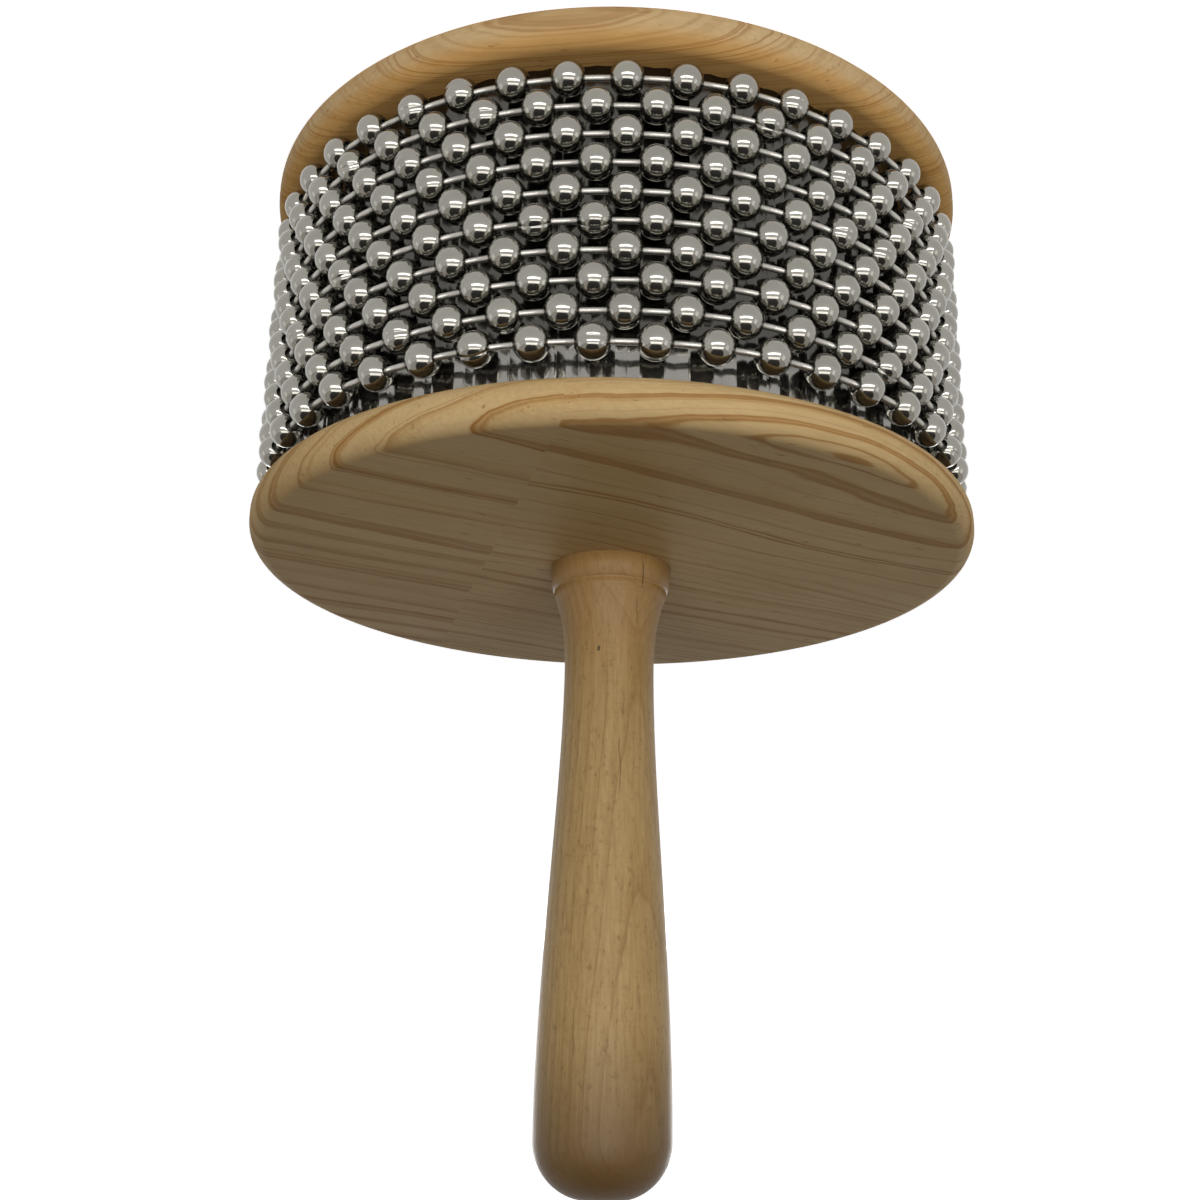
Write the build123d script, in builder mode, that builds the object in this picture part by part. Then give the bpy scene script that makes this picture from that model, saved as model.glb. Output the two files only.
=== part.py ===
"""Cabasa: ten loops of steel bead chain around a fluted steel drum, between two wooden discs on a handle.

Millimetres, +Z up. The part stands on the outer face of its end disc, with the handle pointing up.
The origin is the centre of that face, and the front of the instrument is towards -Y.
"""

import math
import os

from build123d import *

# Wooden discs
DISC_D = 120.0
DISC_T = 7.0
DISC_EDGE_R = 3.0

# Bead chain
LOOP_COUNT = 10
BEAD_D = 5.4
BEAD_WALL = 0.35
PIN_D = 1.0
PIN_SHOWING = 3.45
PIN_HOLE_PLAY = 0.2
PIN_HEAD_PLAY = 0.14
PIN_HEAD_GAP = 0.2
NEIGHBOUR_GAP = 0.98
RIM_MARGIN = 0.3
CHAIN_CLEARANCE = 0.5
GAP_AT_END_DISC = 1.9
GAP_AT_HANDLE_DISC = 3.1

# Fluted steel sleeve and its tacks
SHEET_T = 0.4
FLUTE_PITCH = 3.4
FLUTE_DEPTH = 0.25
SEAM_GAP = 0.5
SEAM_LAND = 4.0
TACK_D = 0.8
TACK_LENGTH = 6.0
TACK_HEAD_D = 2.0
TACK_HEAD_T = 0.35
TACKS_PER_ROW = 4
TACK_FIT = 0.05

# Handle
HANDLE_LENGTH = 99.4
COLLAR_D = 20.2
COLLAR_FOOT_D = 19.2
COLLAR_LENGTH = 4.0
COLLAR_GROOVE = 0.3
COVE_TOP_D = 18.9
COVE_LENGTH = 13.5
NECK_D = 14.7
GRIP_MID_D = 18.3
GRIP_MID_TO_SWELL = 33.6
SWELL_D = 21.1
SWELL_TO_END = 10.4
HANDLE_END_R = 8.5
TENON_D = 12.0
TENON_LENGTH = 30.0

# Draw screw and its plug
SCREW_D = 4.8
SCREW_LENGTH = 50.0
SCREW_POINT = 6.0
SCREW_HEAD_D = 10.0
SCREW_HEAD_T = 2.2
SCREW_SLOT_W = 1.2
SCREW_SLOT_DEPTH = 1.0
PLUG_T = 1.8
PLUG_RECESS = 0.2
PLUG_GAP = 0.2
WOOD_FIT = 0.1

# Chain: spacing of the beads round the drum, and room for the pins inside them
bead_r = BEAD_D / 2
bead_inner_r = bead_r - BEAD_WALL
disc_r = DISC_D / 2
ring_r = disc_r - RIM_MARGIN - bead_r
bead_count = round(2 * math.pi * ring_r / (BEAD_D - BEAD_WALL + PIN_SHOWING))
bead_step = 360 / bead_count
pin_tilt = math.radians(bead_step / 2)
half_pitch = ring_r * math.sin(pin_tilt)
pin_hole_r = PIN_D / 2 + bead_r * math.tan(pin_tilt) + PIN_HOLE_PLAY
head_spacing = 1 / math.cos(pin_tilt)
head_room = bead_inner_r - PIN_HEAD_PLAY - head_spacing * PIN_HEAD_GAP / 2
pin_head_r = head_room / (1 + head_spacing)
pin_head_at = half_pitch - head_spacing * (pin_head_r + PIN_HEAD_GAP / 2)

# Chain: loops nest into each other, and stay clear of the next but one as well
bead_reach = BEAD_D + NEIGHBOUR_GAP
nested_pitch = math.sqrt(max(bead_reach**2 - half_pitch**2, 0))
loop_pitch = max(nested_pitch, bead_reach / 2)
drum_height = GAP_AT_END_DISC + (LOOP_COUNT - 1) * loop_pitch + BEAD_D + GAP_AT_HANDLE_DISC

# Heights along the axis
drum_bottom = DISC_T
drum_top = drum_bottom + drum_height
handle_foot = drum_top + DISC_T
handle_top = handle_foot + HANDLE_LENGTH
first_loop_z = drum_bottom + GAP_AT_END_DISC + bead_r
screw_seat_z = PLUG_RECESS + PLUG_T + PLUG_GAP + SCREW_HEAD_T
screw_tip_z = screw_seat_z + SCREW_LENGTH

# Sleeve radii
crest_r = ring_r - bead_r - CHAIN_CLEARANCE
root_r = crest_r - FLUTE_DEPTH
core_r = root_r - SHEET_T - WOOD_FIT

# Bores
screw_hole_r = SCREW_D / 2 + WOOD_FIT
head_hole_r = SCREW_HEAD_D / 2 + WOOD_FIT
tenon_hole_r = TENON_D / 2 + WOOD_FIT
tenon_bottom_z = handle_foot - TENON_LENGTH
tenon_hole_z = tenon_bottom_z - WOOD_FIT


def on_circle(radius, degrees):
    """A point of the XY plane at this radius and angle."""
    angle = math.radians(degrees)
    return (radius * math.cos(angle), radius * math.sin(angle))


def save(builder, name):
    """Label a finished piece and write it."""
    builder.part.label = name
    export_step(builder.part, f"parts/{name}.step")


os.makedirs("parts", exist_ok=True)

# End disc: the face it stands on has the counterbore of the draw screw
with BuildPart() as end_disc:
    Cylinder(disc_r, DISC_T, align=(Align.CENTER, Align.CENTER, Align.MIN))
    fillet(end_disc.edges().filter_by(GeomType.CIRCLE), DISC_EDGE_R)
    with BuildSketch() as screw_way:
        Circle(screw_hole_r)
    extrude(amount=DISC_T, mode=Mode.SUBTRACT)
    with BuildSketch() as head_way:
        Circle(head_hole_r)
    extrude(amount=screw_seat_z, mode=Mode.SUBTRACT)
save(end_disc, "end_disc")

# Handle-side disc: the handle's tenon passes through it
with BuildPart(Plane.XY.offset(drum_top)) as handle_side_disc:
    Cylinder(disc_r, DISC_T, align=(Align.CENTER, Align.CENTER, Align.MIN))
    fillet(handle_side_disc.edges().filter_by(GeomType.CIRCLE), DISC_EDGE_R)
    with BuildSketch(Plane.XY.offset(drum_top)) as tenon_way:
        Circle(tenon_hole_r)
    extrude(amount=DISC_T, mode=Mode.SUBTRACT)
save(handle_side_disc, "handle_side_disc")

# Tacks: two rows, one on each land beside the seam at the back
seam_angle = 90.0
seam_half = math.degrees(SEAM_GAP / 2 / root_r)
land_angle = math.degrees(SEAM_LAND / root_r)
tack_angle = seam_half + land_angle / 2
tack_head_sag = root_r - math.sqrt(root_r**2 - (TACK_HEAD_D / 2) ** 2)
tack_seat_r = root_r + tack_head_sag
tack_hole_r = TACK_D / 2 + TACK_FIT
tack_tip_r = tack_seat_r - TACK_LENGTH
tack_rows = [seam_angle - tack_angle, seam_angle + tack_angle]
tack_heights = [drum_bottom + drum_height * (n + 0.5) / TACKS_PER_ROW for n in range(TACKS_PER_ROW)]

with BuildPart() as tack:
    with BuildSketch():
        with BuildLine():
            Polyline(
                (tack_tip_r, 0),
                (tack_tip_r + TACK_D, TACK_D / 2),
                (tack_seat_r, TACK_D / 2),
                (tack_seat_r, TACK_HEAD_D / 2),
                (tack_seat_r + TACK_HEAD_T, TACK_HEAD_D / 2),
                (tack_seat_r + TACK_HEAD_T, 0),
                close=True,
            )
        make_face()
    revolve(axis=Axis.X)

with BuildPart() as tack_hole:
    with BuildSketch():
        with BuildLine():
            Polyline(
                (tack_tip_r - TACK_FIT, 0),
                (tack_tip_r - TACK_FIT, tack_hole_r),
                (crest_r, tack_hole_r),
                (crest_r, 0),
                close=True,
            )
        make_face()
    revolve(axis=Axis.X)


def at_tacks(piece, mode):
    """Add a piece to the part being built, or cut it away, at every tack."""
    for height in tack_heights:
        for angle in tack_rows:
            add(piece.part.moved(Location((0, 0, height), (0, 0, angle))), mode=mode)


with BuildPart() as sleeve_tacks:
    at_tacks(tack, Mode.ADD)
save(sleeve_tacks, "sleeve_tacks")

# Drum core: a turned block with the tenon's bore above and the screw's bore below
with BuildPart() as drum_core:
    with BuildSketch(Plane.XY.offset(drum_bottom)) as core_section:
        Circle(core_r)
        Circle(screw_hole_r, mode=Mode.SUBTRACT)
    extrude(amount=drum_height)
    with BuildSketch(Plane.XY.offset(tenon_hole_z)) as core_tenon_way:
        Circle(tenon_hole_r)
    extrude(amount=drum_top - tenon_hole_z, mode=Mode.SUBTRACT)
    at_tacks(tack_hole, Mode.SUBTRACT)
save(drum_core, "drum_core")

# Corrugated sleeve: flat folds, with a plain land on each side of the seam
fluted_start = seam_angle + seam_half + land_angle
fluted_span = 360 - 2 * (seam_half + land_angle)
fluted_end = fluted_start + fluted_span
flute_count = round(math.radians(fluted_span) * crest_r / FLUTE_PITCH)
fold_angle = fluted_span / flute_count / 2


def sheet_side(inset):
    """Draw one side of the sheet, from one edge of the seam to the other, this far inside the outer side."""
    radii = [root_r - inset, crest_r - inset]
    folds = range(2 * flute_count + 1)
    land_middles = [on_circle(radii[0], end + land_angle / 2) for end in (fluted_start - land_angle, fluted_end)]
    land_edges = [on_circle(radii[0], edge) for edge in (fluted_start - land_angle, fluted_end + land_angle)]
    bends = [on_circle(radii[fold % 2], fluted_start + fold * fold_angle) for fold in folds]
    ThreePointArc(land_edges[0], land_middles[0], bends[0])
    Polyline(*bends)
    ThreePointArc(bends[-1], land_middles[1], land_edges[1])


with BuildPart() as corrugated_sleeve:
    with BuildSketch(Plane.XY.offset(drum_bottom)):
        with BuildLine():
            sheet_side(0)
            sheet_side(SHEET_T)
            for edge in (seam_angle + seam_half, seam_angle - seam_half):
                Line(on_circle(root_r, edge), on_circle(root_r - SHEET_T, edge))
        make_face()
    extrude(amount=drum_height)
    at_tacks(tack_hole, Mode.SUBTRACT)
save(corrugated_sleeve, "corrugated_sleeve")

# Handle: turned collar, cove, swelling grip and round end, with a tenon bored for the screw
groove_z = handle_foot + COLLAR_LENGTH
cove_top_z = groove_z + 2 * COLLAR_GROOVE
neck_z = groove_z + COVE_LENGTH
swell_z = handle_top - SWELL_TO_END
with BuildPart() as handle:
    with BuildSketch(Plane.XZ) as handle_profile:
        with BuildLine():
            Polyline(
                (0, handle_top),
                (0, tenon_bottom_z),
                (TENON_D / 2, tenon_bottom_z),
                (TENON_D / 2, handle_foot),
                (COLLAR_D / 2, handle_foot),
                (COLLAR_FOOT_D / 2, groove_z),
                (COVE_TOP_D / 2 - COLLAR_GROOVE, groove_z + COLLAR_GROOVE),
                (COVE_TOP_D / 2, cove_top_z),
            )
            Spline(
                (COVE_TOP_D / 2, cove_top_z),
                (NECK_D / 2, neck_z),
                tangents=((-1, 1.6), (0, 1)),
            )
            Spline(
                (NECK_D / 2, neck_z),
                (GRIP_MID_D / 2, swell_z - GRIP_MID_TO_SWELL),
                (SWELL_D / 2, swell_z),
                tangents=((0, 1), (0, 1)),
            )
            Polyline((SWELL_D / 2, swell_z), (SWELL_D / 2, handle_top), (0, handle_top))
        make_face()
    revolve(axis=Axis.Z)
    fillet(handle.edges().filter_by(GeomType.CIRCLE).sort_by(Axis.Z)[-1], HANDLE_END_R)
    with BuildSketch(Plane.XY.offset(tenon_bottom_z)) as pilot:
        Circle(screw_hole_r)
    extrude(amount=screw_tip_z + WOOD_FIT - tenon_bottom_z, mode=Mode.SUBTRACT)
save(handle, "handle")

# Draw screw: slotted cheese head on its seat in the end disc, pointed end in the tenon
with BuildPart() as draw_screw:
    with BuildSketch(Plane.XZ) as screw_profile:
        with BuildLine():
            Polyline(
                (0, screw_seat_z - SCREW_HEAD_T),
                (SCREW_HEAD_D / 2, screw_seat_z - SCREW_HEAD_T),
                (SCREW_HEAD_D / 2, screw_seat_z),
                (SCREW_D / 2, screw_seat_z),
                (SCREW_D / 2, screw_tip_z - SCREW_POINT),
                (0, screw_tip_z),
                close=True,
            )
        make_face()
    revolve(axis=Axis.Z)
    with BuildSketch(Plane.XY.offset(screw_seat_z - SCREW_HEAD_T)) as slot:
        Rectangle(SCREW_HEAD_D, SCREW_SLOT_W)
    extrude(amount=SCREW_SLOT_DEPTH, mode=Mode.SUBTRACT)
save(draw_screw, "draw_screw")

# Screw plug: a thin wooden button just below the face of the end disc
with BuildPart(Plane.XY.offset(PLUG_RECESS)) as screw_plug:
    Cylinder(SCREW_HEAD_D / 2, PLUG_T, align=(Align.CENTER, Align.CENTER, Align.MIN))
save(screw_plug, "screw_plug")

# One hollow bead, bored along Y, and one link pin with a ball head at each end
bore_out = math.sqrt(bead_r**2 - pin_hole_r**2)
bore_in = math.sqrt(bead_inner_r**2 - pin_hole_r**2)
with BuildPart() as bead:
    with BuildSketch():
        with BuildLine():
            ThreePointArc((pin_hole_r, -bore_out), (bead_r, 0), (pin_hole_r, bore_out))
            Line((pin_hole_r, bore_out), (pin_hole_r, bore_in))
            ThreePointArc((pin_hole_r, bore_in), (bead_inner_r, 0), (pin_hole_r, -bore_in))
            Line((pin_hole_r, -bore_in), (pin_hole_r, -bore_out))
        make_face()
    revolve(axis=Axis.Y)

pin_r = PIN_D / 2
neck_at = pin_head_at - math.sqrt(pin_head_r**2 - pin_r**2)
pin_end = pin_head_at + pin_head_r
with BuildPart() as link_pin:
    with BuildSketch():
        with BuildLine():
            Line((0, -pin_end), (0, pin_end))
            ThreePointArc((0, pin_end), (pin_head_r, pin_head_at), (pin_r, neck_at))
            Line((pin_r, neck_at), (pin_r, -neck_at))
            ThreePointArc((pin_r, -neck_at), (pin_head_r, -pin_head_at), (0, -pin_end))
        make_face()
    revolve(axis=Axis.Y)

# Bead loops and their link pins: every second loop is turned by half a bead
front_angle = -91.0
pin_ring_r = ring_r * math.cos(pin_tilt)
for loop in range(LOOP_COUNT):
    height = first_loop_z + loop * loop_pitch
    start = front_angle + bead_step / 2 * (loop % 2)
    with BuildPart() as bead_loop:
        with Locations((0, 0, height)):
            with PolarLocations(ring_r, bead_count, start):
                add(bead.part)
    save(bead_loop, f"bead_loop_{loop + 1:02d}")
    with BuildPart() as link_pins:
        with Locations((0, 0, height)):
            with PolarLocations(pin_ring_r, bead_count, start + bead_step / 2):
                add(link_pin.part)
    save(link_pins, f"link_pins_{loop + 1:02d}")
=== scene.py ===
"""Looks of the cabasa: bright bead chain on fluted steel, pine discs and a turned handle, on a white floor.

Metres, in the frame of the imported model: +Z along the handle, the photographed side towards -Y.
"""

import math
import random

import bmesh
import bpy
import numpy as np
from mathutils import Matrix, Vector


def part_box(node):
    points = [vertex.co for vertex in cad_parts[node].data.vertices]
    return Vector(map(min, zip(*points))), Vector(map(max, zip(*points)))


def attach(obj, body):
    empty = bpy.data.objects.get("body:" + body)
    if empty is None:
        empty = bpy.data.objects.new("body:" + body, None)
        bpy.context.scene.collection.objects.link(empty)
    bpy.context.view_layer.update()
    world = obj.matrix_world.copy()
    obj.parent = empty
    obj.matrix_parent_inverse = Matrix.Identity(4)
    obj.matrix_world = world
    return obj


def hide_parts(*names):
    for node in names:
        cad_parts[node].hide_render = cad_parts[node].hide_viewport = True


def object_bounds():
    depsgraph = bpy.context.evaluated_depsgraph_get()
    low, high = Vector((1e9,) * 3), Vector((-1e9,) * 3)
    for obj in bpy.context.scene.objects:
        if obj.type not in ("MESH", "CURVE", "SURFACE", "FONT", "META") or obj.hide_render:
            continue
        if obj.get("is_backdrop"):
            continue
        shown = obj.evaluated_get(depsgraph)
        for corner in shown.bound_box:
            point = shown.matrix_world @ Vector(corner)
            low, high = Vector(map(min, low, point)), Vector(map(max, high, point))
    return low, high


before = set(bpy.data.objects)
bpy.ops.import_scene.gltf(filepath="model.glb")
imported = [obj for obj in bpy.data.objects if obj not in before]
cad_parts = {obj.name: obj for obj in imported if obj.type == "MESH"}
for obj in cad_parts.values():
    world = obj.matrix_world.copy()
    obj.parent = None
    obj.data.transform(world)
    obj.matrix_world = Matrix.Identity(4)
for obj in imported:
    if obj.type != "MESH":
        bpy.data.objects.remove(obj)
cad_low, cad_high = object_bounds()

MM = 0.001
ON_AXIS_R = 1e-9
CHAIN_TURN = math.radians(1.0)
LOOPS = [f"{number:02d}" for number in range(1, 11)]

# Sizes read from the frame
end_low, end_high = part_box("end_disc")
side_low, side_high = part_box("handle_side_disc")
handle_low, handle_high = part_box("handle")
sleeve_low, sleeve_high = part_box("corrugated_sleeve")
screw_low, screw_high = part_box("draw_screw")
loop_boxes = {loop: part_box(f"bead_loop_{loop}") for loop in LOOPS}
pin_low, pin_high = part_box("link_pins_01")
INSIDE_CAD_BOX = 0.005 * MM
DISC_R = min(cad_high.x, -cad_low.x, cad_high.y, -cad_low.y) - INSIDE_CAD_BOX
BEAD_R = (loop_boxes["01"][1].z - loop_boxes["01"][0].z) / 2
RING_R = (-loop_boxes["01"][0].y - BEAD_R) / math.cos(CHAIN_TURN)
CREST_R = sleeve_high.x
PIN_HEAD_R = (pin_high.z - pin_low.z) / 2

# Discs and the screw that holds them
DISC_EDGE_R = 3.0 * MM
DISC_SEGMENTS = 288
EDGE_STEPS = 14
TENON_HOLE_R = 6.1 * MM
SCREW_HOLE_R = 2.5 * MM
SCREW_HEAD_T = 2.2 * MM
HEAD_HOLE_R = 5.1 * MM
BORE_PAST_SCREW = 0.1 * MM
MERGE_WITHIN = 0.001 * MM
SHARP_FROM = math.radians(30)

# Bead chain
BEAD_COUNT = 42
BEAD_WALL = 0.35 * MM
BEAD_SEGMENTS = 28
BEAD_STEPS = 16
BEAD_INNER_STEPS = 5
HOLE_RIM_DEGREES = 2.5
HOLE_RIM_TUCK = 0.06 * MM
SEAM_DEPTH = 0.07 * MM
SEAM_HALF_ANGLE = math.radians(1.6)
SEAM_SHARE = 0.45
PIN_R = 0.5 * MM
PIN_HOLE_R = 0.9 * MM
PIN_HEAD_GAP = 0.2 * MM
PIN_SEGMENTS = 14
PIN_HEAD_STEPS = 8
CHAIN_FRONT = -math.pi / 2 - CHAIN_TURN
CHAIN_SEED = 7

# Waves of the chain round the drum: size, number of waves and phase
LIFT_WAVES = [(0.22 * MM, 2, 0.6), (0.14 * MM, 5, 2.2), (0.08 * MM, 11, 0.0)]
SLIP_WAVES = [(math.radians(0.25), 3, 1.0), (math.radians(0.16), 8, 0.4)]

# Fluted sleeve, with each fold's points as shares of its pitch and depth
FLUTE_COUNT = 97
FLUTE_DEPTH = 0.25 * MM
SHEET_T = 0.4 * MM
SEAM_EDGE_ANGLE = math.radians(0.27)
LAND_END_ANGLE = math.radians(4.55)
LAND_STEPS = 4
FOLD_POINTS = [(0.05, 0.08), (0.45, 0.92), (0.55, 0.92), (0.95, 0.08)]

# Handle
TENON_R = 6.0 * MM
COLLAR_R = 10.1 * MM
COLLAR_FOOT_R = 9.6 * MM
COLLAR_LENGTH = 4.0 * MM
COLLAR_BREAK = 0.15 * MM
LIP_OUT = 0.05 * MM
LIP_IN = 0.08 * MM
LIP_HEIGHT = 0.1 * MM
GROOVE = 0.3 * MM
COVE_TOP_R = 9.45 * MM
COVE_LENGTH = 13.5 * MM
COVE_SLOPE = -0.42
COVE_STEPS = 14
NECK_R = 7.35 * MM
GRIP_MID_R = 9.15 * MM
GRIP_MID_TO_SWELL = 33.6 * MM
GRIP_MID_STEEPNESS = 1.35
GRIP_STEPS = 16
SWELL_R = 10.55 * MM
SWELL_TO_END = 10.4 * MM
HANDLE_END_R = 8.5 * MM
HANDLE_END_STEPS = 18
HANDLE_SEGMENTS = 160

# Pine
SIDE_MIDDLE = (0, 0, (side_low.z + side_high.z) / 2)
END_MIDDLE = (0, 0, (end_low.z + end_high.z) / 2)
CORE_MIDDLE = (0, 0, 30 * MM)
PITH_AWAY = 250 * MM
ALONG_GRAIN = 0.03
RING_WANDER = 5.0 * MM
RING_RIPPLE = 0.7 * MM
RING_UNEVEN = 3.2 * MM
RING_UNEVEN_SCALE = 190.0
PINE_RELIEF = 0.06 * MM
# Heights above the middle over which the painted shade of the inner face comes in
INNER_FACE_SHADE_FADE = (0.5 * MM, 2.9 * MM)
SIDE_JOINT = ((0.97, -0.24, 0.0), 21.0 * MM)
JOINED_RING_WIDTH = 3.4 * MM
BOARD_FADE = 0.18

# Handle's wood, with its marks: place across, low and high ends, half width and strength
HANDLE_PITH = (30 * MM, 45 * MM, 0)
HANDLE_RING_WIDTH = 1.5 * MM
HANDLE_RING_WANDER = 3.0 * MM
HANDLE_RELIEF = 0.05 * MM
# Painted shade near the collar, for the disc's shadow, fading out between these two heights
COLLAR_SHADE_Z = 68 * MM
COLLAR_SHADE_END_Z = 96 * MM
# Height from which painted shade, and end grain at the tip, darken the handle towards its free end
END_GRAIN_AND_SHADE_Z = 137 * MM
MARK_JITTER = 0.9 * MM
HANDLE_MARKS = [
    (-5.2 * MM, 68.2 * MM, 73.0 * MM, 0.16 * MM, 0.8),
    (-4.4 * MM, 74.0 * MM, 79.0 * MM, 0.12 * MM, 0.5),
    (1.9 * MM, 82.6 * MM, 83.6 * MM, 0.32 * MM, 0.9),
    (-1.9 * MM, 96.0 * MM, 108.0 * MM, 0.14 * MM, 0.5),
    (-2.3 * MM, 90.0 * MM, 95.0 * MM, 0.10 * MM, 0.4),
    (4.6 * MM, 139.0 * MM, 147.0 * MM, 0.12 * MM, 0.4),
]

# Metal
SCUFF_RELIEF = 0.02 * MM
# Painted shade on the sleeve behind and between the bead rows, and the heights over which it fades out
# upwards
SHADE_BEHIND_BEADS = (0.06, 0.057, 0.05)
SHADE_FADE_HEIGHTS = (50 * MM, 55 * MM)

# Stage and room
STAGE_R = 2.6
WALL_HEIGHT = 1.2
STAGE_SEGMENTS = 96
STAGE_WHITE = 0.8
NEAR_GLOW = 0.85
GLOW_FADE = (0.3, 0.9)
ROOM_COLOUR = (1.0, 0.97, 0.93)
ROOM_DIM = 0.02
ROOM_PALE = 0.75
DARK_HEIGHT = math.radians(68)
DARK_TOWARDS = (0.0, -math.cos(DARK_HEIGHT), math.sin(DARK_HEIGHT))
DARK_EDGE = (0.78, 0.84)

# Lamps: name, place, width, height and radiance
LAMP_AIM = (0.0, 0.0, 0.05)
LAMPS = [
    ("front_low", (-0.06, -1.0, 0.12), 1.45, 0.18, 7.8),
    ("front_high", (-0.06, -0.95, 0.60), 1.45, 0.24, 3.1),
    ("side_left", (-0.95, -0.48, 0.32), 0.36, 0.44, 0.9),
    ("side_right", (1.15, -0.10, 0.25), 0.35, 0.40, 0.6),
    ("back", (0.0, 1.3, 0.22), 1.6, 0.36, 4.2),
]

# Camera, fitted to the photograph's square image
IMAGE_PIXELS = 1200
FOCAL_PIXELS = 1532.2
SENSOR_MM = 36.0
NEAREST = 0.01
CAMERA_AT = Vector((0.0017, -0.2438, 0.1541))
CAMERA_DOWN = math.radians(18.5)
CAMERA_ROLL = math.radians(180.95)

# Mesh helpers


def linked(name, data):
    """A new object in the scene for a mesh, a lamp or a camera."""
    made = bpy.data.objects.new(name, data)
    bpy.context.scene.collection.objects.link(made)
    return made


def mesh_object(name, points, faces, smooth=True):
    """A mesh object from arrays of points and faces."""
    mesh = bpy.data.meshes.new(name)
    mesh.from_pydata([tuple(p) for p in points], [], [tuple(f) for f in faces])
    mesh.validate()
    if smooth:
        mesh.shade_smooth()
    return linked(name, mesh)


def lathe(profile, segments, closed):
    """Points and faces of a profile of (radius, height) turned about Z.

    A closed profile joins its last point to its first. An open one runs from end to end as it is.
    """
    points, rows = [], []
    for radius, height in profile:
        if radius < ON_AXIS_R:
            rows.append([len(points)] * segments)
            points.append((0.0, 0.0, height))
            continue
        rows.append(list(range(len(points), len(points) + segments)))
        for step in range(segments):
            angle = 2 * math.pi * step / segments
            points.append((radius * math.cos(angle), radius * math.sin(angle), height))
    faces = []
    for low, high in zip(rows, rows[1:] + rows[:1] if closed else rows[1:]):
        for step in range(segments):
            after = (step + 1) % segments
            corners = [low[step], low[after], high[after], high[step]]
            faces.append(list(dict.fromkeys(corners)))
    return np.array(points), faces


def arc(centre, radius, start, end, steps):
    """Points of an arc in the (radius, height) plane, angles in degrees."""
    angles = np.radians(np.linspace(start, end, steps + 1))
    return [(centre[0] + radius * math.cos(a), centre[1] + radius * math.sin(a)) for a in angles]


def hermite(start, end, start_slope, end_slope, steps):
    """Points of a smooth curve of radius over height, without its first point."""
    (r0, z0), (r1, z1) = start, end
    span = z1 - z0
    curve = []
    for t in np.linspace(0, 1, steps + 1)[1:]:
        lift = r0 * (2 * t**3 - 3 * t**2 + 1) + r1 * (3 * t**2 - 2 * t**3)
        lean = span * (start_slope * (t**3 - 2 * t**2 + t) + end_slope * (t**3 - t**2))
        curve.append((lift + lean, z0 + span * t))
    return curve


# Node helpers


def inputs_of(named):
    """Names of shader inputs from Python words: base_color becomes Base Color."""
    return {key.replace("_", " ").title().replace("Ior", "IOR"): value for key, value in named.items()}


def srgb(red, green, blue):
    """Linear colour of an 8-bit screen colour."""
    parts = [c / 255 for c in (red, green, blue)]
    return tuple(c / 12.92 if c <= 0.04045 else ((c + 0.055) / 1.055) ** 2.4 for c in parts)


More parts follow.
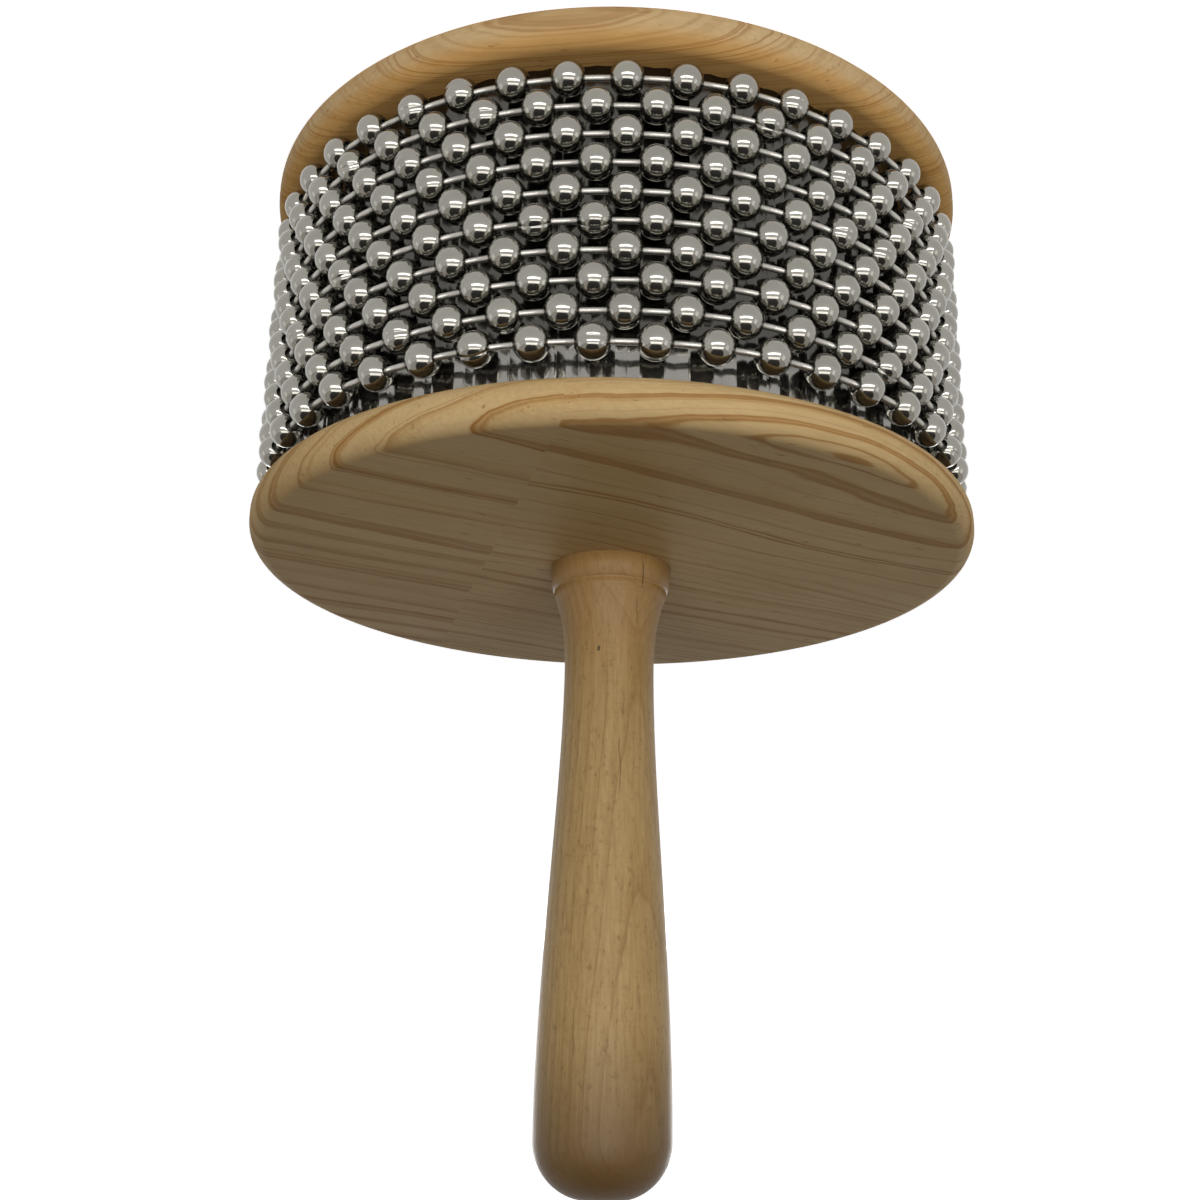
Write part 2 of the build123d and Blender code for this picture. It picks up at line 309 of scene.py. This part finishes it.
class Shader:
    """The node tree of a material or a world, with short ways to add nodes and links."""

    def __init__(self, name, kind="Material"):
        owners = bpy.data.worlds if kind == "World" else bpy.data.materials
        self.owner = owners.new(name)
        self.owner.use_nodes = True
        self.tree = self.owner.node_tree
        self.tree.nodes.clear()
        self.output = self.tree.nodes.new("ShaderNodeOutput" + kind)

    def add(self, kind, inputs=None, **settings):
        made = self.tree.nodes.new("ShaderNode" + kind)
        for key, value in settings.items():
            setattr(made, key, value)
        for key, value in (inputs or {}).items():
            self.put(value, made.inputs[key])
        return made

    def put(self, value, socket):
        if isinstance(value, bpy.types.NodeSocket):
            self.tree.links.new(value, socket)
        else:
            socket.default_value = value

    def math(self, operation, a, b=0.0, clamp=False):
        made = self.add("Math", {0: a, 1: b}, operation=operation, use_clamp=clamp)
        return made.outputs[0]

    def vector(self, operation, a, b=(0, 0, 0)):
        made = self.add("VectorMath", {0: a, 1: b}, operation=operation)
        return made.outputs["Value" if operation in ("LENGTH", "DOT_PRODUCT") else "Vector"]

    def axes(self, vector):
        return self.add("SeparateXYZ", {0: vector}).outputs

    def coordinates(self):
        return self.add("TexCoord").outputs["Object"]

    def mapped(self, vector, scale=(1, 1, 1), turn=(0, 0, 0)):
        return self.add("Mapping", {"Vector": vector, "Scale": scale, "Rotation": turn}).outputs[0]

    def noise(self, vector, scale, detail=3.0, roughness=0.5):
        """Noise with its own scale along each axis."""
        stretched = self.mapped(vector, scale)
        inputs = {"Vector": stretched, "Scale": 1.0, "Detail": detail, "Roughness": roughness}
        return self.add("TexNoise", inputs).outputs["Fac"]

    def range(self, value, low, high, to_low=0.0, to_high=1.0, smooth=False):
        inputs = {"Value": value, "From Min": low, "From Max": high, "To Min": to_low, "To Max": to_high}
        kind = "SMOOTHSTEP" if smooth else "LINEAR"
        return self.add("MapRange", inputs, interpolation_type=kind, clamp=True).outputs[0]

    def ramp(self, value, stops):
        made = self.add("ValToRGB", {"Fac": value})
        elements = made.color_ramp.elements
        while len(elements) < len(stops):
            elements.new(0.5)
        for element, (place, colour) in zip(elements, stops):
            element.position = place
            element.color = (*colour, 1.0)
        return made.outputs["Color"]

    def mix(self, factor, first, second, blend="MIX"):
        made = self.add("Mix", data_type="RGBA", blend_type=blend)
        self.put(factor, made.inputs[0])
        self.put(first, made.inputs[6])
        self.put(second, made.inputs[7])
        return made.outputs[2]

    def bump(self, height, strength, distance):
        return self.add("Bump", {"Height": height, "Strength": strength, "Distance": distance}).outputs[0]

    def surface(self, **inputs):
        return self.add("BsdfPrincipled", inputs_of(inputs)).outputs[0]

    def glow(self, strength):
        """The strength at which the background shows: to the camera, in reflections and through glass."""
        rays = self.add("LightPath").outputs
        bent = self.math("ADD", rays["Is Glossy Ray"], rays["Is Transmission Ray"])
        seen = self.math("ADD", rays["Is Camera Ray"], bent, clamp=True)
        return self.math("MULTIPLY", seen, strength)

    def finish(self, surface):
        self.tree.links.new(surface, self.output.inputs["Surface"])
        return self.owner


# Materials


def growth_rings(shader, board, tilt, ring_width, offset):
    """Growth rings, counted from a far pith that leans across the grain by tilt."""
    pith = (0.0, -PITH_AWAY * math.sin(tilt), PITH_AWAY * math.cos(tilt))
    across = shader.vector("MULTIPLY", shader.vector("SUBTRACT", board, pith), (ALONG_GRAIN, 1, 1))
    depth = shader.vector("LENGTH", across)
    wander = shader.noise(board, (11, 34, 34), detail=2.0)
    ripple = shader.noise(board, (60, 260, 260), detail=2.0)
    depth = shader.math("ADD", depth, shader.math("MULTIPLY", wander, RING_WANDER))
    depth = shader.math("ADD", depth, shader.math("MULTIPLY", ripple, RING_RIPPLE))
    depth = shader.math("ADD", depth, offset)
    count = shader.math("MULTIPLY", depth, RING_UNEVEN_SCALE)
    uneven = shader.add("TexNoise", {"W": count}, noise_dimensions="1D")
    depth = shader.math("ADD", depth, shader.math("MULTIPLY", uneven.outputs["Fac"], RING_UNEVEN))
    return shader.math("DIVIDE", depth, ring_width)


def pine(
    name,
    centre,
    grain,
    tilt,
    ring_width,
    offset=0.0,
    tone=(1, 1, 1),
    inner_face_shade_tone=None,
    fades=(0.0, 0.5),
    joint=None,
):
    """Flat-sawn pine: growth rings in shallow layers, a dark edge on each, fibres and resin flecks.

    Each ring fades by an amount between fades. At a joint (a direction and a distance) the board changes.
    A tone for the side above the centre paints shade there: a warmer, darker tint for the shaded inner
    face.
    """
    shader = Shader(name)
    place = shader.vector("SUBTRACT", shader.coordinates(), centre)
    board = shader.mapped(place, turn=(0, 0, -grain))
    board_fade = 0.0
    if joint:
        beyond = shader.math("GREATER_THAN", shader.vector("DOT_PRODUCT", place, joint[0]), joint[1])
        ring_width = shader.range(beyond, 0.0, 1.0, ring_width, JOINED_RING_WIDTH)
        board_fade = shader.range(beyond, 0.0, 1.0, BOARD_FADE, 0.0)
    rings = growth_rings(shader, board, tilt, ring_width, offset)
    phase = shader.math("FRACT", rings)
    early, middle, late = srgb(205, 176, 128), srgb(197, 165, 113), srgb(156, 108, 54)
    wood = shader.ramp(
        phase,
        [(0.0, early), (0.40, early), (0.62, middle), (0.80, late), (0.93, late), (1.0, early)],
    )
    ring_tone = shader.add("TexWhiteNoise", {"W": shader.math("FLOOR", rings)}, noise_dimensions="1D")
    ring_fade = shader.range(ring_tone.outputs["Value"], 0.0, 1.0, *fades)
    plain = shader.mix(shader.math("ADD", ring_fade, board_fade), wood, (*early, 1))
    patches = shader.noise(board, (12, 45, 45), detail=2.0)
    warm = shader.mix(shader.range(patches, 0.35, 0.7, 0.0, 0.35), plain, (*srgb(184, 147, 95), 1))
    fibre = shader.noise(board, (90, 1700, 1700), detail=4.0, roughness=0.65)
    shade = shader.ramp(fibre, [(0.3, (0.66, 0.60, 0.50)), (0.7, (1, 1, 1))])
    streaked = shader.mix(0.40, warm, shade, "MULTIPLY")
    flecks = shader.noise(board, (260, 1500, 1500), detail=1.0)
    flecked = shader.mix(shader.range(flecks, 0.70, 0.77, 0.0, 0.5), streaked, (*srgb(118, 84, 48), 1))
    tone_and_painted_shade = (*tone, 1)
    # Painted shade: the side above the centre, the shaded inner face, takes a warmer, darker tint
    if inner_face_shade_tone:
        upper = shader.range(shader.axes(place)["Z"], *INNER_FACE_SHADE_FADE, smooth=True)
        tone_and_painted_shade = shader.mix(upper, tone_and_painted_shade, (*inner_face_shade_tone, 1))
    relief = shader.math("ADD", shader.math("MULTIPLY", phase, 0.4), fibre)
    surface = shader.surface(
        base_color=shader.mix(1.0, flecked, tone_and_painted_shade, "MULTIPLY"),
        roughness=shader.range(fibre, 0.3, 0.7, 0.60, 0.48),
        normal=shader.bump(relief, 0.3, PINE_RELIEF),
        specular_ior_level=0.01,
    )
    return shader.finish(surface)


def handle_wood():
    """Close-grained turned wood: fine grain along the handle, ray flecks, turning marks and checks, with
    painted shade near the collar and towards the free end, and end grain at its tip.
    """
    shader = Shader("handle_wood_turned")
    place = shader.coordinates()
    slow = shader.noise(place, (70, 70, 10), detail=3.0)
    across = shader.vector("MULTIPLY", shader.vector("SUBTRACT", place, HANDLE_PITH), (1, 1, ALONG_GRAIN))
    wander = shader.math("MULTIPLY", slow, HANDLE_RING_WANDER)
    depth = shader.math("ADD", shader.vector("LENGTH", across), wander)
    phase = shader.math("FRACT", shader.math("DIVIDE", depth, HANDLE_RING_WIDTH))
    light, tan, deep = srgb(178, 149, 100), srgb(168, 138, 89), srgb(150, 117, 70)
    wood = shader.ramp(phase, [(0.0, light), (0.5, light), (0.85, tan), (0.95, deep), (1.0, light)])
    blotch = shader.noise(place, (120, 120, 40), detail=4.0, roughness=0.6)
    body = shader.mix(shader.range(blotch, 0.35, 0.7, 0.15, 0.75), wood, (*tan, 1))
    fibre = shader.noise(place, (2100, 2100, 110), detail=4.0, roughness=0.65)
    shade = shader.ramp(fibre, [(0.3, (0.58, 0.52, 0.42)), (0.68, (1, 1, 1))])
    streaked = shader.mix(0.62, body, shade, "MULTIPLY")
    rays = shader.noise(place, (1300, 1300, 700), detail=3.0, roughness=0.6)
    rayed = shader.mix(shader.range(rays, 0.56, 0.72, 0.0, 0.55), streaked, (*srgb(118, 88, 52), 1))
    pale = srgb(184, 156, 110)
    flecked = shader.mix(shader.range(rays, 0.28, 0.42, 0.30, 0.0), rayed, (*pale, 1))
    chatter = shader.noise(place, (90, 90, 1700), detail=2.0)
    chattered = shader.mix(shader.range(chatter, 0.52, 0.72, 0.0, 0.10), flecked, (*pale, 1))
    height = shader.axes(place)["Z"]
    # Painted shade: darker, warmer wood near the collar, for the disc's shadow, fading out up the grip
    collar_shade_share = shader.range(height, COLLAR_SHADE_Z, COLLAR_SHADE_END_Z, 0.62, 0.0, smooth=True)
    collar_shaded = shader.mix(collar_shade_share, chattered, (*srgb(132, 96, 52), 1))
    # Darker towards the free end: painted shade along the grip, and end grain at the rounded tip
    end_grain_and_shade = shader.range(height, END_GRAIN_AND_SHADE_Z, handle_high.z, 0.0, 0.95, smooth=True)
    ended = shader.mix(end_grain_and_shade, collar_shaded, (*srgb(84, 61, 33), 1))
    marked = shader.mix(handle_marks(shader, place), ended, (*srgb(58, 40, 26), 1))
    relief = shader.math("ADD", shader.math("MULTIPLY", fibre, 0.6), shader.math("MULTIPLY", chatter, 0.5))
    surface = shader.surface(
        base_color=marked,
        roughness=shader.range(fibre, 0.3, 0.7, 0.52, 0.40),
        normal=shader.bump(relief, 0.35, HANDLE_RELIEF),
        specular_ior_level=0.22,
    )
    return shader.finish(surface)


def handle_marks(shader, place):
    """Strength of the dark checks and the pore on the front of the handle."""
    jitter = shader.noise(place, (300, 300, 300), detail=2.0)
    axes = shader.axes(place)
    wavy = shader.math("ADD", axes["X"], shader.math("MULTIPLY", jitter, MARK_JITTER))
    front = shader.math("LESS_THAN", axes["Y"], 0.0)
    total = 0.0
    for across, low, high, half_width, strength in HANDLE_MARKS:
        away = shader.math("ABSOLUTE", shader.math("SUBTRACT", wavy, across + MARK_JITTER / 2))
        line = shader.range(away, 0.3 * half_width, half_width, strength, 0.0)
        near = shader.math("ABSOLUTE", shader.math("SUBTRACT", axes["Z"], (low + high) / 2))
        length = (high - low) / 2
        span = shader.range(near, 0.6 * length, length, 1.0, 0.0)
        total = shader.math("ADD", total, shader.math("MULTIPLY", line, span), clamp=True)
    return shader.math("MULTIPLY", total, front)


def plated(name, colour, dull, smooth, haze, scuff_scale, shade_heights=None):
    """Bright plated metal: a sharp reflection with a soft haze over it, faint scuffs and tarnish.

    The last argument gives the two heights between which painted shade, for the shadow behind and between
    the bead rows, fades out upwards.
    """
    shader = Shader(name)
    place = shader.coordinates()
    scuffs = shader.noise(place, scuff_scale, detail=4.0, roughness=0.7)
    tarnish = shader.noise(place, (240, 240, 240), detail=2.0)
    base = shader.mix(shader.range(tarnish, 0.4, 0.75, 0.0, 0.6), (*colour, 1), (*dull, 1))
    # Painted shade: the metal darker behind and between the bead rows, fading out above them
    if shade_heights:
        behind_beads_shade = shader.range(shader.axes(place)["Z"], *shade_heights, 0.9, 0.0, smooth=True)
        base = shader.mix(behind_beads_shade, base, (*SHADE_BEHIND_BEADS, 1))
    uneven = shader.bump(scuffs, 0.05, SCUFF_RELIEF)
    polish = shader.range(scuffs, 0.35, 0.75, smooth, smooth + 0.10)
    sharp = shader.surface(base_color=base, metallic=1.0, roughness=polish, normal=uneven)
    soft = shader.surface(base_color=base, metallic=1.0, roughness=0.5, normal=uneven)
    both = shader.add("MixShader", {"Fac": haze, 1: sharp, 2: soft}).outputs[0]
    return shader.finish(both)


PINE_SIDE = pine(
    "pine_handle_side",
    SIDE_MIDDLE,
    grain=math.radians(-27),
    tilt=math.radians(25),
    ring_width=2.1 * MM,
    joint=SIDE_JOINT,
)
PINE_END = pine(
    "pine_end",
    END_MIDDLE,
    grain=math.radians(6),
    tilt=math.radians(-60),
    ring_width=1.7 * MM,
    offset=1.0 * MM,
    tone=(1.03, 1.04, 1.12),
    # Painted shade on the inner face above the middle
    inner_face_shade_tone=(1.04, 0.86, 0.62),
    fades=(0.4, 0.9),
)
PINE_CORE = pine(
    "core_block",
    CORE_MIDDLE,
    grain=math.radians(60),
    tilt=math.radians(70),
    ring_width=4.0 * MM,
    tone=(0.85, 0.85, 0.85),
)
HANDLE_WOOD = handle_wood()
NICKEL = plated(
    "bright_nickel",
    colour=(0.285, 0.274, 0.243),
    dull=(0.228, 0.219, 0.193),
    smooth=0.05,
    haze=0.09,
    scuff_scale=(700, 700, 700),
)
PIN_WIRE = plated(
    "pin_wire",
    colour=(0.42, 0.405, 0.37),
    dull=(0.34, 0.325, 0.29),
    smooth=0.22,
    haze=0.55,
    scuff_scale=(900, 900, 900),
)
SHEET_STEEL = plated(
    "fluted_sheet",
    colour=(0.27, 0.26, 0.24),
    dull=(0.22, 0.21, 0.19),
    smooth=0.08,
    haze=0.08,
    scuff_scale=(900, 900, 60),
    shade_heights=SHADE_FADE_HEIGHTS,
)
ZINC_STEEL = plated(
    "zinc_steel",
    colour=(0.52, 0.52, 0.50),
    dull=(0.40, 0.39, 0.36),
    smooth=0.28,
    haze=0.30,
    scuff_scale=(500, 500, 500),
)


def dress(piece, material, body, node):
    """Give a new piece its material, and let it stand for a CAD node on its body."""
    piece.data.materials.clear()
    piece.data.materials.append(material)
    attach(piece, body)
    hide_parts(node)


# Discs


def disc(name, low_z, high_z, bore):
    """A disc with rounded edges. bore lists the (radius, height) points of its hole, downwards."""
    inner = DISC_R - DISC_EDGE_R
    lower = arc((inner, low_z + DISC_EDGE_R), DISC_EDGE_R, -90, 0, EDGE_STEPS)
    upper = arc((inner, high_z - DISC_EDGE_R), DISC_EDGE_R, 0, 90, EDGE_STEPS)
    made = mesh_object(name, *lathe(lower + upper + bore, DISC_SEGMENTS, closed=True))
    made.modifiers.new("flat_faces", "WEIGHTED_NORMAL")
    return made


tenon_hole = [(TENON_HOLE_R, side_high.z), (TENON_HOLE_R, side_low.z)]
side_disc = disc("handle_side_disc_pine", side_low.z, side_high.z, tenon_hole)
dress(side_disc, PINE_SIDE, "drum", "handle_side_disc")

screw_seat_z = screw_low.z + SCREW_HEAD_T
screw_hole = [(SCREW_HOLE_R, end_high.z), (SCREW_HOLE_R, screw_seat_z)]
head_hole = [(HEAD_HOLE_R, screw_seat_z), (HEAD_HOLE_R, end_low.z)]
end_disc = disc("end_disc_pine", end_low.z, end_high.z, screw_hole + head_hole)
dress(end_disc, PINE_END, "drum", "end_disc")

# Handle


def handle_profile():
    """(radius, height) points of the handle, from the end of the screw's bore round to the free end."""
    foot_z = side_high.z
    end_z = handle_high.z
    bore_z = screw_high.z + BORE_PAST_SCREW
    groove_z = foot_z + COLLAR_LENGTH
    cove_z = groove_z + 2 * GROOVE
    neck_z = groove_z + COVE_LENGTH
    swell_z = end_z - SWELL_TO_END
    mid_z = swell_z - GRIP_MID_TO_SWELL
    mid_slope = (SWELL_R - NECK_R) / (swell_z - neck_z) * GRIP_MID_STEEPNESS
    bore = [(0.0, bore_z), (SCREW_HOLE_R, bore_z), (SCREW_HOLE_R, handle_low.z)]
    tenon = [(TENON_R, handle_low.z), (TENON_R, foot_z)]
    collar = [
        (COLLAR_R - COLLAR_BREAK, foot_z),
        (COLLAR_R, foot_z + COLLAR_BREAK),
        (COLLAR_FOOT_R + LIP_OUT, groove_z - LIP_HEIGHT),
        (COLLAR_FOOT_R - LIP_IN, groove_z),
        (COVE_TOP_R - GROOVE, groove_z + GROOVE),
        (COVE_TOP_R, cove_z),
    ]
    cove = hermite((COVE_TOP_R, cove_z), (NECK_R, neck_z), COVE_SLOPE, 0.0, COVE_STEPS)
    grip = hermite((NECK_R, neck_z), (GRIP_MID_R, mid_z), 0.0, mid_slope, GRIP_STEPS)
    grip += hermite((GRIP_MID_R, mid_z), (SWELL_R, swell_z), mid_slope, 0.0, GRIP_STEPS)
    end_centre = (SWELL_R - HANDLE_END_R, end_z - HANDLE_END_R)
    free_end = arc(end_centre, HANDLE_END_R, 0, 90, HANDLE_END_STEPS)
    return bore + tenon + collar + cove + grip + free_end + [(0.0, end_z)]


handle = mesh_object("handle_turned", *lathe(handle_profile(), HANDLE_SEGMENTS, closed=False))
dress(handle, HANDLE_WOOD, "drum", "handle")

# Fluted sleeve


def sleeve_section():
    """Angle from the seam and lift above the root of the sheet's outer side, round to the seam again."""
    fluted = 2 * math.pi - 2 * LAND_END_ANGLE
    land = [(angle, 0.0) for angle in np.linspace(SEAM_EDGE_ANGLE, LAND_END_ANGLE, LAND_STEPS + 1)]
    folds = [
        (LAND_END_ANGLE + fluted * (flute + place) / FLUTE_COUNT, FLUTE_DEPTH * lift)
        for flute in range(FLUTE_COUNT)
        for place, lift in FOLD_POINTS
    ]
    return land + folds + [(2 * math.pi - angle, 0.0) for angle, lift in reversed(land)]


def fluted_sleeve():
    """The corrugated sheet, open at its seam at the back, as one closed skin."""
    section = sleeve_section()
    low, high = sleeve_low.z, sleeve_high.z
    corners = [(0.0, low), (SHEET_T, low), (SHEET_T, high), (0.0, high)]
    points = []
    for angle, lift in section:
        turn = math.pi / 2 + angle
        for inset, height in corners:
            radius = CREST_R - FLUTE_DEPTH + lift - inset
            points.append((radius * math.cos(turn), radius * math.sin(turn), height))
    last = 4 * (len(section) - 1)
    faces = [(3, 2, 1, 0), tuple(last + corner for corner in range(4))]
    for step in range(0, last, 4):
        for side in range(4):
            after = (side + 1) % 4
            faces.append((step + side, step + after, step + 4 + after, step + 4 + side))
    return mesh_object("fluted_sleeve", points, faces, smooth=False)


dress(fluted_sleeve(), SHEET_STEEL, "drum", "corrugated_sleeve")

# Bead chain


def bead_shape(seam):
    """One hollow bead about Z with rolled hole rims. A seam is a narrow groove from hole to hole."""
    rim = math.degrees(math.asin(PIN_HOLE_R / BEAD_R))
    inner_r = BEAD_R - BEAD_WALL
    inner_rim = math.degrees(math.asin(PIN_HOLE_R / inner_r))
    reach = 90 - rim - HOLE_RIM_DEGREES
    outer = arc((0, 0), BEAD_R, -reach, reach, BEAD_STEPS)
    tuck = BEAD_R * math.cos(math.radians(rim)) - HOLE_RIM_TUCK
    inner = arc((0, 0), inner_r, 90 - inner_rim, -90 + inner_rim, BEAD_INNER_STEPS)
    ring = [*outer, (PIN_HOLE_R, tuck), *inner, (PIN_HOLE_R, -tuck)]
    points, faces = lathe(ring, BEAD_SEGMENTS, closed=True)
    if seam:
        points = points.reshape(len(ring), BEAD_SEGMENTS, 3)
        side = 2 * math.pi / BEAD_SEGMENTS - SEAM_HALF_ANGLE
        for column, turn, scale in ((0, 0.0, 1 - SEAM_DEPTH / BEAD_R), (1, -side, 1.0), (-1, side, 1.0)):
            spin = np.array(Matrix.Rotation(turn, 3, "Z"))
            rows = slice(0, len(outer))
            points[rows, column] = points[rows, column] @ spin.T
            points[rows, column, :2] *= scale
        points = points.reshape(-1, 3)
    return points, faces


def link_shape(head_at):
    """One link pin about Z, with a ball head at each end."""
    neck = math.degrees(math.asin(PIN_R / PIN_HEAD_R))
    low = arc((0, -head_at), PIN_HEAD_R, -90, 90 - neck, PIN_HEAD_STEPS)
    high = arc((0, head_at), PIN_HEAD_R, -90 + neck, 90, PIN_HEAD_STEPS)
    low[0] = (0.0, -head_at - PIN_HEAD_R)
    high[-1] = (0.0, head_at + PIN_HEAD_R)
    return lathe(low + high, PIN_SEGMENTS, closed=False)


def merged(placed):
    """Points and faces of several shapes, each with its own place."""
    all_points, all_faces, offset = [], [], 0
    for (points, faces), place in placed:
        turn = np.array(place.to_3x3())
        all_points.append(points @ turn.T + np.array(place.translation))
        all_faces += [[corner + offset for corner in face] for face in faces]
        offset += len(points)
    return np.concatenate(all_points), all_faces


def wave(terms, angle):
    """Sum of waves round the drum, at an angle."""
    return sum(size * math.sin(count * angle + phase) for size, count, phase in terms)


def chain_point(angle, height):
    """Centre of a bead: the loops lie a little wavy round the drum, all in the same way."""
    turned = angle + wave(SLIP_WAVES, angle) - wave(SLIP_WAVES, CHAIN_FRONT)
    return Vector((RING_R * math.cos(turned), RING_R * math.sin(turned), height + wave(LIFT_WAVES, angle)))


def along(direction, centre, spin=0.0):
    """A place whose own Z axis lies along a direction."""
    turn = direction.to_track_quat("Z", "Y").to_matrix().to_4x4()
    return Matrix.Translation(centre) @ turn @ Matrix.Rotation(spin, 4, "Z")


chance = random.Random(CHAIN_SEED)
bead_step = 2 * math.pi / BEAD_COUNT
tilt = bead_step / 2
bead_shapes = [bead_shape(False), bead_shape(True)]
link = link_shape(RING_R * math.sin(tilt) - (PIN_HEAD_R + PIN_HEAD_GAP / 2) / math.cos(tilt))
for number, loop in enumerate(LOOPS):
    low, high = loop_boxes[loop]
    angles = [CHAIN_FRONT + tilt * (number % 2) + bead_step * place for place in range(BEAD_COUNT)]
    centres = [chain_point(angle, (low.z + high.z) / 2) for angle in angles]
    beads, links = [], []
    for place, centre in enumerate(centres):
        before, after = centres[place - 1], centres[(place + 1) % BEAD_COUNT]
        shape = bead_shapes[chance.random() < SEAM_SHARE]
        beads.append((shape, along(after - before, centre, chance.uniform(0, 2 * math.pi))))
        links.append((link, along(after - centre, (after + centre) / 2)))
    bead_piece = mesh_object(f"chain_beads_{loop}", *merged(beads))
    dress(bead_piece, NICKEL, f"loop_{loop}", f"bead_loop_{loop}")
    link_piece = mesh_object(f"chain_links_{loop}", *merged(links))
    dress(link_piece, PIN_WIRE, f"loop_{loop}", f"link_pins_{loop}")

# Fasteners


def cleaned(name, node):
    """A copy of a CAD piece, with doubled corners and faces without area merged away."""
    shape = bmesh.new()
    shape.from_mesh(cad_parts[node].data)
    bmesh.ops.remove_doubles(shape, verts=shape.verts, dist=MERGE_WITHIN)
    bmesh.ops.dissolve_degenerate(shape, edges=shape.edges, dist=MERGE_WITHIN)
    mesh = bpy.data.meshes.new(name)
    shape.to_mesh(mesh)
    shape.free()
    mesh.shade_smooth()
    mesh.set_sharp_from_angle(angle=SHARP_FROM)
    return linked(name, mesh)


dress(cleaned("sleeve_tacks_zinc", "sleeve_tacks"), ZINC_STEEL, "drum", "sleeve_tacks")
dress(cleaned("draw_screw_zinc", "draw_screw"), ZINC_STEEL, "drum", "draw_screw")

# Inner pieces that keep their CAD shape
for node, material in (("drum_core", PINE_CORE), ("screw_plug", PINE_END)):
    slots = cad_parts[node].data.materials
    slots.clear()
    slots.append(material)

# Stage and room


def white_stage(name):
    """A white surface that takes shadows, and shows white to the camera and in reflections."""
    shader = Shader(name)
    away = shader.vector("LENGTH", shader.coordinates())
    white = shader.range(away, *GLOW_FADE, NEAR_GLOW, 1.0)
    glow = shader.add("Emission", {"Strength": shader.glow(white)}).outputs[0]
    matte = shader.add("BsdfDiffuse", {"Color": (STAGE_WHITE, STAGE_WHITE, STAGE_WHITE, 1)}).outputs[0]
    return shader.finish(shader.add("AddShader", {0: glow, 1: matte}).outputs[0])


def pale_room(name):
    """A dim world that shows as a pale room, with a dark part above the front."""
    shader = Shader(name, "World")
    direction = shader.add("TexCoord").outputs["Generated"]
    towards = shader.vector("DOT_PRODUCT", direction, DARK_TOWARDS)
    pale = shader.range(towards, *DARK_EDGE, ROOM_PALE, ROOM_DIM, smooth=True)
    strength = shader.math("ADD", ROOM_DIM, shader.glow(pale))
    light = shader.add("Background", {"Color": (*ROOM_COLOUR, 1), "Strength": strength}).outputs[0]
    return shader.finish(light)


stage_profile = [(0, 0), (STAGE_R, 0), (STAGE_R, WALL_HEIGHT)]
stage = mesh_object("white_stage", *lathe(stage_profile, STAGE_SEGMENTS, closed=False))
stage.data.materials.append(white_stage("white_stage"))
stage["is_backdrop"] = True
bpy.context.scene.world = pale_room("pale_room")
bpy.context.scene.view_settings.view_transform = "Standard"

# Light


def softbox(name, at, width, height, radiance):
    """An area lamp of even radiance that faces the head."""
    lamp = bpy.data.lights.new(name, "AREA")
    lamp.shape = "RECTANGLE"
    lamp.size, lamp.size_y = width, height
    lamp.energy = radiance * math.pi * width * height
    made = linked(name, lamp)
    made.location = at
    made.rotation_euler = (Vector(LAMP_AIM) - Vector(at)).to_track_quat("-Z", "Y").to_euler()


for lamp in LAMPS:
    softbox(*lamp)

# Camera
lens = bpy.data.cameras.new("photo_camera")
lens.sensor_width = SENSOR_MM
lens.lens = FOCAL_PIXELS / IMAGE_PIXELS * SENSOR_MM
lens.clip_start = NEAREST
camera = linked("photo_camera", lens)
level = Matrix.Rotation(math.pi / 2 - CAMERA_DOWN, 4, "X")
camera.matrix_world = Matrix.Translation(CAMERA_AT) @ level @ Matrix.Rotation(CAMERA_ROLL, 4, "Z")
bpy.context.scene.camera = camera

low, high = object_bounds()
